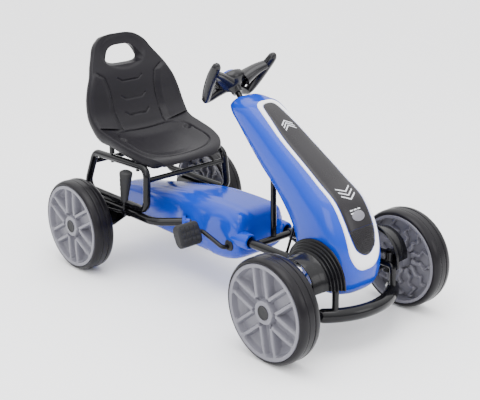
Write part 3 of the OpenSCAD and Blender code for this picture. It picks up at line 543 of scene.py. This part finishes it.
def face_sheet(start, end, proud):
    """A sheet on the nose's face inside the trim, its side edges sunk into the nose."""
    rows = [row for row in spline_rows(FACE, 14) if start <= row[0] <= end]
    rows = [[start, rows[0][1]]] + rows + [[end, rows[-1][1]]]
    sheet = []
    for down, width in rows:
        width = max(width - 0.4, 0.5)
        sheet.append([drape(width * k / 10, down, proud if abs(k) < 10 else -0.5) for k in range(-10, 11)])
    return skin(sheet, closed=False, caps=False)


def build_nose_panel():
    finish_piece("nose_panel_plate", *face_sheet(-1, PANEL_END, 1.6), PANEL, "nose_panel", smooth=50)


def ribbon(points, width):
    """A raised strip on the nose's face along (x, way down) points."""
    fine = []
    for (x0, q0), (x1, q1) in zip(points, points[1:]):
        fine += [(x0 + (x1 - x0) * k / 8, q0 + (q1 - q0) * k / 8) for k in range(8)]
    fine.append(points[-1])
    low = RIBBON_PROUD - RIBBON_THICK
    rows = []
    for x, q in fine:
        rows.append([drape(x, q - width / 2, low), drape(x, q - width / 2, RIBBON_PROUD),
                     drape(x, q + width / 2, RIBBON_PROUD), drape(x, q + width / 2, low)])
    return skin(rows, closed=False, caps=False)


def build_panel_marks():
    """Generic chevrons, three pointing up and three down, and two rows of three short bars."""
    marks = []
    for q, w, way in ((62, 17, -1), (70, 17, -1), (78, 17, -1), (296, 22, 1), (307, 22, 1), (318, 22, 1)):
        marks.append(ribbon([(-w, q - 13 * way), (0, q), (w, q - 13 * way)], 3.6))
    for q in (343, 350):
        for x in (-20, -8, 4):
            marks.append(ribbon([(x, q), (x + 9, q)], 3))
    finish_piece("panel_chevrons", *join(*marks), SILVER, slot="white_trim", body="chassis")


def build_nose_grille():
    """The lower panel, covered in staggered rows of small studs."""
    studs = []
    for i in range(-9, 10):
        for j in range(0, 14):
            x, q = i * 4.4 + (2.2 if j % 2 else 0), 387 + j * 3.9
            width = [row[1] for row in spline_rows(FACE, 14) if row[0] <= q][-1]
            if abs(x) > width - 3.2 or q > 437:
                continue
            rings = []
            for r, proud in ((1.9, 0.8), (1.5, 2.0), (0.7, 2.4)):
                corners = [t * math.pi / 3 for t in range(6)]
                rings.append([drape(x + r * math.cos(a), q + r * math.sin(a), proud) for a in corners])
            studs.append(skin(rings))
    grille = join(face_sheet(GRILLE_START, GRILLE_END, 1.0), *studs)
    finish_piece("nose_grille_mesh", *grille, PANEL, "nose_grille", smooth=50)


def build_panel_badge():
    """A plain oval dome above the grille."""
    dome = []
    for k in range(12, 0, -1):
        proud = 1.2 + 3.2 * (1 - (k / 12) ** 2) ** 0.5
        dome.append([drape(20 * k / 12 * math.cos(t), 358 + 12 * k / 12 * math.sin(t), proud)
                     for t in turns(40)])
    finish_piece("panel_badge", *skin(dome), RIM, slot="black_panel", body="chassis", smooth=60)


# ---- Axle pods ----
def pod_profile():
    """(x, radius) of a pod: five bellows steps, a sleeve, and back along the inside."""
    profile = []
    for i in range(5):
        x, r = 87 + 6 * i, 94 - 5 * i
        profile += [(x + 0.3, r - 1.2), (x + 1.2, r - 0.1), (x + 4.4, r - 0.1), (x + 5.4, r - 1.4)]
    profile += [(118, 69), (121, 67.2), (135, 66.2), (158, 64.4), (159.6, 63.6), (160, 62), (159, 61.2)]
    profile += [(120, 63), (115, 66), (112, 70)]
    profile += [(87 + 6 * i + 3, 94 - 5 * i - 3.6) for i in (4, 3, 2, 1, 0)] + [(87.3, 92)]
    return profile + profile[:1]


def build_axle_pods():
    for s, side in SIDES:
        half_turn = lathe(pod_profile(), place(0, WHEELBASE, 160), 96, -1.5, 181.5, sign=s)
        finish_piece("pod_" + side, *half_turn, PLASTIC, "axle_pod_" + side, smooth=35)


# ---- Chain cover ----
# Each station: place ahead, bottom, top, half width
COVER = [(-80, 122, 160, 22), (-78, 110, 172, 34), (-72, 102, 181, 42), (-50, 95, 187, 48),
         (0, 92, 195, 51), (70, 91, 207, 55), (140, 91, 219, 60), (210, 92, 230, 66),
         (270, 93, 237, 75), (340, 93, 241, 79), (410, 95, 241, 80), (450, 103, 239, 80),
         (466, 110, 237, 78), (476, 117, 233, 75), (482, 123, 226, 70), (485, 130, 217, 62)]
COVER_POINTS = 72
# Where the rail leaves the cover's front, (place ahead, radius), and where it enters, (way along, radius)
COVER_LOBE = ((455, 22), (494, 22), (502, 21), (509, 20.5), (512, 19), (513, 17), (512.6, 14.5), (508, 12),
              (470, 11.6))
COVER_ENTRY = ((0, 18), (6, 17), (9, 14.5), (8, 11.8), (-10, 11.6))
CRANK_SLOT = ((76, 11), (85.2, 10.5), (85.7, 10), (85.8, 9))  # (x, radius) of the plate round the crank


def cover_ring(ahead, low, high, width):
    """One ring, with a swelling round the crank, a side groove and a line along each top edge."""
    ring = []
    for i in range(COVER_POINTS):
        t = -2 * math.pi * i / COVER_POINTS
        x = width * signed_power(math.sin(t), 0.45)
        z = (low + high) / 2 + (high - low) / 2 * signed_power(math.cos(t), 0.45)
        from_crank = math.hypot(ahead - 420, z - 156)
        if abs(x) > 40:
            x += math.copysign(4.2 * smooth_step(73, 69, from_crank), x) * smooth_step(40, 60, abs(x))
            x -= math.copysign(2.2 * math.exp(-((z - 190) / 5) ** 2) * smooth_step(250, 230, ahead), x)
        if high - z < 8:
            z -= 1.6 * math.exp(-((abs(x) - width * 0.55) / 4) ** 2)
        ring.append(place(x, ahead, z))
    return ring


def cover_half(verts, faces, last_ring, s):
    """The faces of the whole cover that lie on one side, with that side's half of each end."""
    def here(i):
        return verts[i].x * s > -1e-6
    kept = [face for face in faces if all(here(i) for i in face)]
    for ring in (0, last_ring):
        kept.append(tuple(i for i in range(ring * COVER_POINTS, (ring + 1) * COVER_POINTS) if here(i)))
    return verts, kept


def rail_lobe(s):
    rings = []
    for ahead, r in COVER_LOBE:
        rings.append([place(s * 62 + r * math.cos(t), ahead, 169 + r * math.sin(t)) for t in turns(40)])
    return skin(rings, caps=False)


def rail_entry(s):
    base, along = place(s * 82, 281, RAIL_Z), Vector((s * 0.73, 0.68, 0))
    across, up = Vector((-along.y, along.x, 0)), Vector((0, 0, 1))
    rings = []
    for way, r in COVER_ENTRY:
        rings.append([base + along * (way / 1000) + (across * math.cos(t) + up * math.sin(t)) * (r / 1000)
                      for t in turns(32)])
    return skin(rings, caps=False)


def crank_slot(s):
    rings = []
    for x, r in CRANK_SLOT:
        rings.append([place(s * x, CRANK_AHEAD + r * math.cos(t) + (7 if math.cos(t) > 0.4 else 0),
                            150 + r * 1.35 * math.sin(t)) for t in turns(40)])
    return skin(rings)


def build_chain_covers():
    stations = spline_rows(COVER, 6)
    verts, faces = skin([cover_ring(*station) for station in stations])
    for s, side in SIDES:
        half = cover_half(verts, faces, len(stations) - 1, s)
        cover = join(half, rail_lobe(s), rail_entry(s))
        finish_piece("cover_" + side, *cover, BLUE, "chain_cover_" + side, smooth=50)
        finish_piece("cover_slot_" + side, *crank_slot(s), SOFT, slot="soft_black", body="chassis")


# ---- Seat ----
# Each station from the front lip up the back: place ahead, height, half width, how far the sides rise
SEAT_STATIONS = [(203, 300, 84, 4), (200, 308, 100, 7), (190, 314, 120, 12), (165, 318, 137, 18),
                 (120, 325, 148, 23), (70, 334, 151, 25), (26, 345, 152, 24), (0, 359, 155, 20),
                 (-14, 377, 158, 15), (-30, 404, 160, 12), (-43, 440, 156, 12), (-52, 475, 146, 12),
                 (-62, 505, 131, 11), (-75, 530, 118, 8), (-88, 556, 102, 5), (-98, 580, 88, 3),
                 (-103, 595, 70, 1), (-105, 604, 50, 0), (-106, 608, 26, 0)]
BACK_GROOVE = [(517, 110), (499, 84), (467, 76), (435, 74), (403, 75), (373, 72), (351, 72)]  # (height, x)
SEAT_EDGE = 5
# The hand hole's cutter: (place behind the rear axle, half width, height, half height)
HAND_HOLE = ((60, 74, 562, 42), (76, 64, 559, 35), (88, 55, 555, 29), (98, 49, 552, 25), (140, 45, 552, 23))


def back_groove_x(z):
    """Half distance between the two long grooves in the back, or None above and below them."""
    for (z1, x1), (z0, x0) in zip(BACK_GROOVE, BACK_GROOVE[1:]):
        if z0 <= z <= z1:
            return x0 + (x1 - x0) * (z - z0) / (z1 - z0)
    return None


def seat_detail(x, z, ahead):
    """How far the front face is pushed out (mm) at a place on the seat."""
    aside = abs(x)
    out = 0.0
    groove = back_groove_x(z)
    if ahead < 5 and groove:
        out -= 3.4 * math.exp(-((aside - groove) / 1.7) ** 2)
        bolster = smooth_step(groove, groove + 22, aside)
        out += 5.5 * bolster * smooth_step(345, 375, z) * smooth_step(525, 505, z)
    if ahead < 0:
        # Three short grooves that turn up at their ends, and the hollow round the hand hole
        for middle in (485, 436, 393):
            curve = middle - 2 + (9 * smooth_step(26, 42, aside))
            if aside < 43:
                out -= 3.4 * math.exp(-((z - curve) / 1.7) ** 2)
        out -= 3.0 * smooth_step(1.1, 0.86, math.hypot(x / 72, (z - 558) / 44))
    if ahead > 5:
        # The cushion's groove and dip, and two small hollows near its front corners
        around = (abs(x / 118) ** 4 + abs((ahead - 92) / 86) ** 4) ** 0.25
        out -= 3.4 * math.exp(-((around - 1) / 0.017) ** 2)
        out -= 3.0 * smooth_step(1.0, 0.6, around)
        for s in (-1, 1):
            out -= 7.0 * math.exp(-(((x - s * 108) / 8) ** 4 + ((ahead - 60) / 9) ** 4))
    return out


def seat_normal(rows, i):
    """The way the front face looks at a station, up or forwards."""
    before, after = rows[max(i - 1, 0)], rows[min(i + 1, len(rows) - 1)]
    run = Vector((0, after[0] - before[0], after[1] - before[1])).normalized()
    normal = Vector((0, run.z, -run.y))
    if normal.z < -0.1 or (abs(normal.z) <= 0.1 and normal.y < 0):
        normal = -normal
    return normal


def seat_side(middle, normal, width, rise, thick, sign, steps):
    """The rounded side edge between the front and the back face."""
    points = []
    for k in steps:
        t = math.pi * k / 10
        x = sign * (width - SEAT_EDGE + SEAT_EDGE * math.sin(t))
        p = middle + Vector((x, 0, 0)) + normal * (rise - thick * 0.5 * (1 - math.cos(t)))
        points.append(place(*p))
    return points


def seat_rings():
    rows = spline_rows(SEAT_STATIONS, 15)
    rings = []
    for i, (ahead, z, width, rise) in enumerate(rows):
        normal = seat_normal(rows, i)
        middle = Vector((0, ahead, z))
        ring = []
        for k in range(-90, 91):
            q = k / 90
            x = q * (width - SEAT_EDGE)
            p = middle + Vector((x, 0, 0)) + normal * (rise * q * q)
            p += normal * seat_detail(x, p.z, p.y) * (1 - abs(q) ** 24)
            ring.append(place(*p))
        thick = 20 * min(1.0, 0.35 + i / 12, 0.35 + (len(rows) - 1 - i) / 10)
        hollow = 7 * smooth_step(-20, 20, ahead)
        thick += hollow + 10 * math.exp(-((ahead + 4) / 34) ** 2)
        ring += seat_side(middle, normal, width, rise, thick, 1, range(1, 10))
        for k in range(40, -41, -1):
            q = k / 40
            depth = rise * q * q - thick + hollow * (1 - q ** 8)
            ring.append(place(*(middle + Vector((q * (width - SEAT_EDGE), 0, 0)) + normal * depth)))
        ring += seat_side(middle, normal, width, rise, thick, -1, range(9, 0, -1))
        rings.append(ring)
    return rings


def hand_hole_cutter():
    rings = []
    for behind, width, middle, height in HAND_HOLE:
        ring = []
        for t in turns(56):
            up = height * signed_power(math.sin(t), 0.62)
            x = (width - up * 0.3) * signed_power(math.cos(t), 0.62)
            ring.append(Vector((x, REAR_AXLE_Y + behind, middle + up)) / 1000)
        rings.append(ring)
    verts, faces = skin(rings)
    mesh = bpy.data.meshes.new("hole_cutter")
    mesh.from_pydata([tuple(v) for v in verts], [], faces)
    cutter = bpy.data.objects.new("hole_cutter", mesh)
    bpy.context.scene.collection.objects.link(cutter)
    return cutter


def build_seat():
    seat = finish_piece("seat_shell", *skin(seat_rings()), SEAT, "bucket_seat", smooth=70)
    cutter = hand_hole_cutter()
    cut = seat.modifiers.new("hand_hole", "BOOLEAN")
    cut.object = cutter
    cut.operation = "DIFFERENCE"
    bpy.context.view_layer.update()
    depsgraph = bpy.context.evaluated_depsgraph_get()
    result = bpy.data.meshes.new_from_object(seat.evaluated_get(depsgraph))
    seat.modifiers.clear()
    seat.data = result
    bpy.data.objects.remove(cutter)


# ---- Steering wheel ----
WHEEL_LEAN = math.radians(46)
WHEEL_OUT = Vector((0, math.cos(WHEEL_LEAN), math.sin(WHEEL_LEAN)))  # along the column, towards the driver
WHEEL_UP = Vector((0, -math.sin(WHEEL_LEAN), math.cos(WHEEL_LEAN)))
HUB = place(0, 393, 527) + WHEEL_OUT * 0.024
# (radius, way out) of the hub, whose middle is sunk for the horn button, and of the button
HUB_PROFILE = [(12.4, -36), (13.5, -34), (15, -24), (22, -18), (32, -13), (37.5, -7), (39, -1), (38.5, 6),
               (36.5, 11), (32, 14), (25, 14.2), (22.5, 13.6), (21.4, 12), (21.4, 5)]
HORN_PROFILE = [(3, 8), (20.8, 8), (20.8, 20), (20.2, 21.6), (18.5, 22.8), (15.5, 23.4), (13, 22.9),
                (11.5, 23.5), (5, 24), (0.4, 24)]
# Each arm: (x, up, out) points in mm, its radius at the hub and how much thinner it gets (metres), its flatness
UPPER_ARM = (((29, 12, -5), (45, 21, -1), (66, 35, 2), (87, 50, 1)), 0.0275, 0.0130, 0.72)
LOWER_ARM = (((18, -21, -2), (36, -30, -6), (56, -38, -12), (70, -40, -16)), 0.0215, 0.0090, 0.72)
WEB = (((25, -6, -4), (33, -7, -4), (43, -5, -5)), 0.0260, 0.0150, 0.5)
GRIP = ((92, 80, 4), (91, 70, 2.4), (89, 50, 0), (85, 26, -4), (80, 0, -9), (74, -24, -14), (69, -38, -16))
GRIP_TIP = 0.0088


def on_wheel(x, up, out):
    """A place on the steering wheel: sideways, up in its plane, and out towards the driver."""
    return HUB + Vector((x, 0, 0)) / 1000 + WHEEL_UP * (up / 1000) + WHEEL_OUT * (out / 1000)


def disc(profile):
    rings = []
    for r, out in profile:
        rings.append([on_wheel(r * math.cos(t), r * math.sin(t), out) for t in turns(64)])
    return skin(rings)


def wheel_arm(s, points, radius, lost, flat):
    """A bar that gets thinner from the hub outwards."""
    path = spline([on_wheel(s * x, up, out) for x, up, out in points], 6)
    last = len(path) - 1
    return sweep(path, [radius - lost * k / last for k in range(last + 1)], 24, flat=flat)


def rounded_tip(end, before, radius, steps):
    """Points and radii past the end of a bar."""
    way = (end - before).normalized()
    points = [end + way * radius * math.sin(k * math.pi / 12) for k in steps]
    return points, [radius * max(math.cos(k * math.pi / 12), 0.05) for k in steps]


def build_steering_wheel():
    parts = [disc(HUB_PROFILE)]
    for s, _ in SIDES:
        for arm in (UPPER_ARM, LOWER_ARM, WEB):
            parts.append(wheel_arm(s, *arm))
    finish_piece("steering_spider", *join(*parts), WHEEL, "steering_wheel", smooth=60)
    for s, side in SIDES:
        path = spline([on_wheel(s * x, up, out) for x, up, out in GRIP], 8)
        last = len(path) - 1
        radii = [0.0096 + 0.0034 * math.sin(math.pi * min(1.0, 0.08 + 0.9 * k / last))
                 for k in range(last + 1)]
        top, top_radii = rounded_tip(path[0], path[1], GRIP_TIP, range(6, 0, -1))
        foot, foot_radii = rounded_tip(path[-1], path[-2], radii[-1], range(1, 7))
        bar = sweep(top + path + foot, top_radii + radii + foot_radii, 24)
        finish_piece("grip_" + side + "_horn", *bar, WHEEL, "grip_" + side, smooth=60)
    finish_piece("horn_cap", *disc(HORN_PROFILE), BLUE, "horn_button", smooth=60)


# ---- Pedals and brake grip ----
PEDAL_TURN = math.radians(66)
PEDAL_RINGS = ((127, 0.74), (128, 0.86), (131, 0.96), (136, 1), (186, 1), (191, 0.96), (194, 0.86),
               (195.5, 0.74))  # (x, how much of its full section)
STUD_CORNERS = ((-5.2, -5.6), (5.2, -5.6), (5.2, 5.6), (-5.2, 5.6))


def on_pedal(s, x, along, up):
    """A place on one side's pedal, turned about its axis: along its face and out of it."""
    ahead, z = pedal_axis(s)
    return place(s * x, ahead + along * math.cos(PEDAL_TURN) + up * math.sin(PEDAL_TURN),
                 z - along * math.sin(PEDAL_TURN) + up * math.cos(PEDAL_TURN))


def pedal_studs(s):
    """Four by three raised blocks on both faces."""
    studs = []
    for i in range(4):
        for j in range(3):
            for face in (-1, 1):
                x, along = 135 + 13.6 * i, -20.5 + 15 * j
                rings = []
                for size, height in ((1, 11.4), (1, 13.2), (0.84, 13.8)):
                    rings.append([on_pedal(s, x + 5.2 + dx * size, along + 5.6 + dy * size, face * height)
                                  for dx, dy in STUD_CORNERS])
                studs.append(skin(rings))
    return studs


def build_pedals():
    for s, side in SIDES:
        rings = []
        for x, size in PEDAL_RINGS:
            long, deep = 30 * size, 12.5 * (0.3 + 0.7 * size)
            rings.append([on_pedal(s, x, long * signed_power(math.cos(t), 0.55),
                                   deep * signed_power(math.sin(t), 0.55)) for t in turns(48)])
        block = join(skin(rings), *pedal_studs(s))
        finish_piece("pedal_block_" + side, *block, SOFT, "pedal_" + side, smooth=35)


def on_lever(z):
    """The brake lever's middle line at a height."""
    return place(-166, 118 + 23 * (z - 172) / 126, z)


def build_brake_grip():
    """A grip that widens upwards, with a slight ripple."""
    heights = [206, 208, 214] + [214 + 66 * k / 10 for k in range(1, 11)] + [285, 289, 291.6, 292.2]
    ripple = [0.0108 + 0.0066 * k / 10 - (0.0007 if k % 2 else 0) for k in range(1, 11)]
    radii = [0.0088, 0.0102, 0.0108] + ripple + [0.0178, 0.017, 0.0135, 0.004]
    grip = sweep([on_lever(z) for z in heights], radii, 32)
    finish_piece("brake_handle", *grip, SOFT, "brake_grip", smooth=50)


# ---- What is left shows its own CAD shape ----
def dress_cad_pieces():
    for name, o in NODES.items():
        o.data.materials.clear()
        o.data.materials.append(MATERIALS[SLOT[name]])
        if not any(m.type == "BEVEL" for m in o.modifiers):
            edge = o.modifiers.new("edge", "BEVEL")
            edge.width = 0.0016 if name.startswith("rim_") else 0.0006
            edge.segments = 3 if name.startswith("rim_") else 2
            edge.limit_method = "ANGLE"
            edge.angle_limit = math.radians(38)
            edge.harden_normals = True


# ---- Stage ----
FLOOR_HALF = 30
CAMERA_PLACE = Vector((-1.6389, -1.8811, 1.0915))
CAMERA_AZIMUTH, CAMERA_ELEVATION, CAMERA_ROLL = math.radians(-41.4), math.radians(19.0), math.radians(-0.84)
CAMERA_LENS, CAMERA_SENSOR = 76.6, 36


def build_floor():
    finish = material("floor", (0.93, 0.93, 0.94), 0.7, vary=0.004, spec=0.2)
    mesh = bpy.data.meshes.new("floor")
    corners = [(-FLOOR_HALF, -FLOOR_HALF, 0), (FLOOR_HALF, -FLOOR_HALF, 0),
               (FLOOR_HALF, FLOOR_HALF, 0), (-FLOOR_HALF, FLOOR_HALF, 0)]
    mesh.from_pydata(corners, [], [(0, 1, 2, 3)])
    mesh.materials.append(finish)
    floor = bpy.data.objects.new("floor", mesh)
    bpy.context.scene.collection.objects.link(floor)


def light_world():
    """White light from all round, stronger from higher up."""
    world = bpy.context.scene.world or bpy.data.worlds.new("studio")
    bpy.context.scene.world = world
    world.use_nodes = True
    tree = world.node_tree
    sky = tree.nodes.new("ShaderNodeTexCoord")
    height = tree.nodes.new("ShaderNodeSeparateXYZ")
    lift = tree.nodes.new("ShaderNodeMapRange")
    lift.inputs["From Min"].default_value = 0.05
    lift.inputs["From Max"].default_value = 0.8
    lift.inputs["To Min"].default_value = 0.75
    lift.inputs["To Max"].default_value = 3.3
    background = tree.nodes["Background"]
    tree.links.new(sky.outputs["Generated"], height.inputs["Vector"])
    tree.links.new(height.outputs["Z"], lift.inputs["Value"])
    tree.links.new(lift.outputs["Result"], background.inputs["Strength"])
    background.inputs["Color"].default_value = (1, 1, 1, 1)


def add_area_light(name, where, size, power):
    """A square light that looks at the kart's middle."""
    light = bpy.data.lights.new(name, "AREA")
    light.size = size
    light.energy = power
    o = bpy.data.objects.new(name, light)
    bpy.context.scene.collection.objects.link(o)
    o.location = where
    o.rotation_euler = (Vector((0, 0, 0.25)) - Vector(where)).to_track_quat("-Z", "Y").to_euler()


def add_camera():
    """The photo's camera."""
    az, el, roll = CAMERA_AZIMUTH, CAMERA_ELEVATION, CAMERA_ROLL
    back = Vector((math.sin(az) * math.cos(el), -math.cos(az) * math.cos(el), math.sin(el)))
    level = Vector((math.cos(az), math.sin(az), 0))
    up = back.cross(level)
    rolled_right = level * math.cos(roll) + up * math.sin(roll)
    rolled_up = -level * math.sin(roll) + up * math.cos(roll)
    camera = bpy.data.cameras.new("camera")
    camera.lens = CAMERA_LENS
    camera.sensor_width = CAMERA_SENSOR
    o = bpy.data.objects.new("camera", camera)
    bpy.context.scene.collection.objects.link(o)
    pose = Matrix((rolled_right, rolled_up, back)).transposed().to_4x4()
    pose.translation = CAMERA_PLACE
    o.matrix_world = pose
    bpy.context.scene.camera = o


build_frame_tubes()
build_crank()
build_bumper()
build_wheels()
build_nose_shell()
build_nose_trim()
build_nose_panel()
build_web_ribs()
build_panel_marks()
build_nose_grille()
build_panel_badge()
build_axle_pods()
build_chain_covers()
build_seat()
build_steering_wheel()
build_pedals()
build_brake_grip()
dress_cad_pieces()
build_floor()
light_world()
add_area_light("top", (-0.4, -0.4, 2.6), 1.8, 38)
add_area_light("left", (-2.6, -1.2, 1.6), 1.4, 22)
add_area_light("front", (0.9, -2.8, 1.4), 1.2, 14)
add_camera()
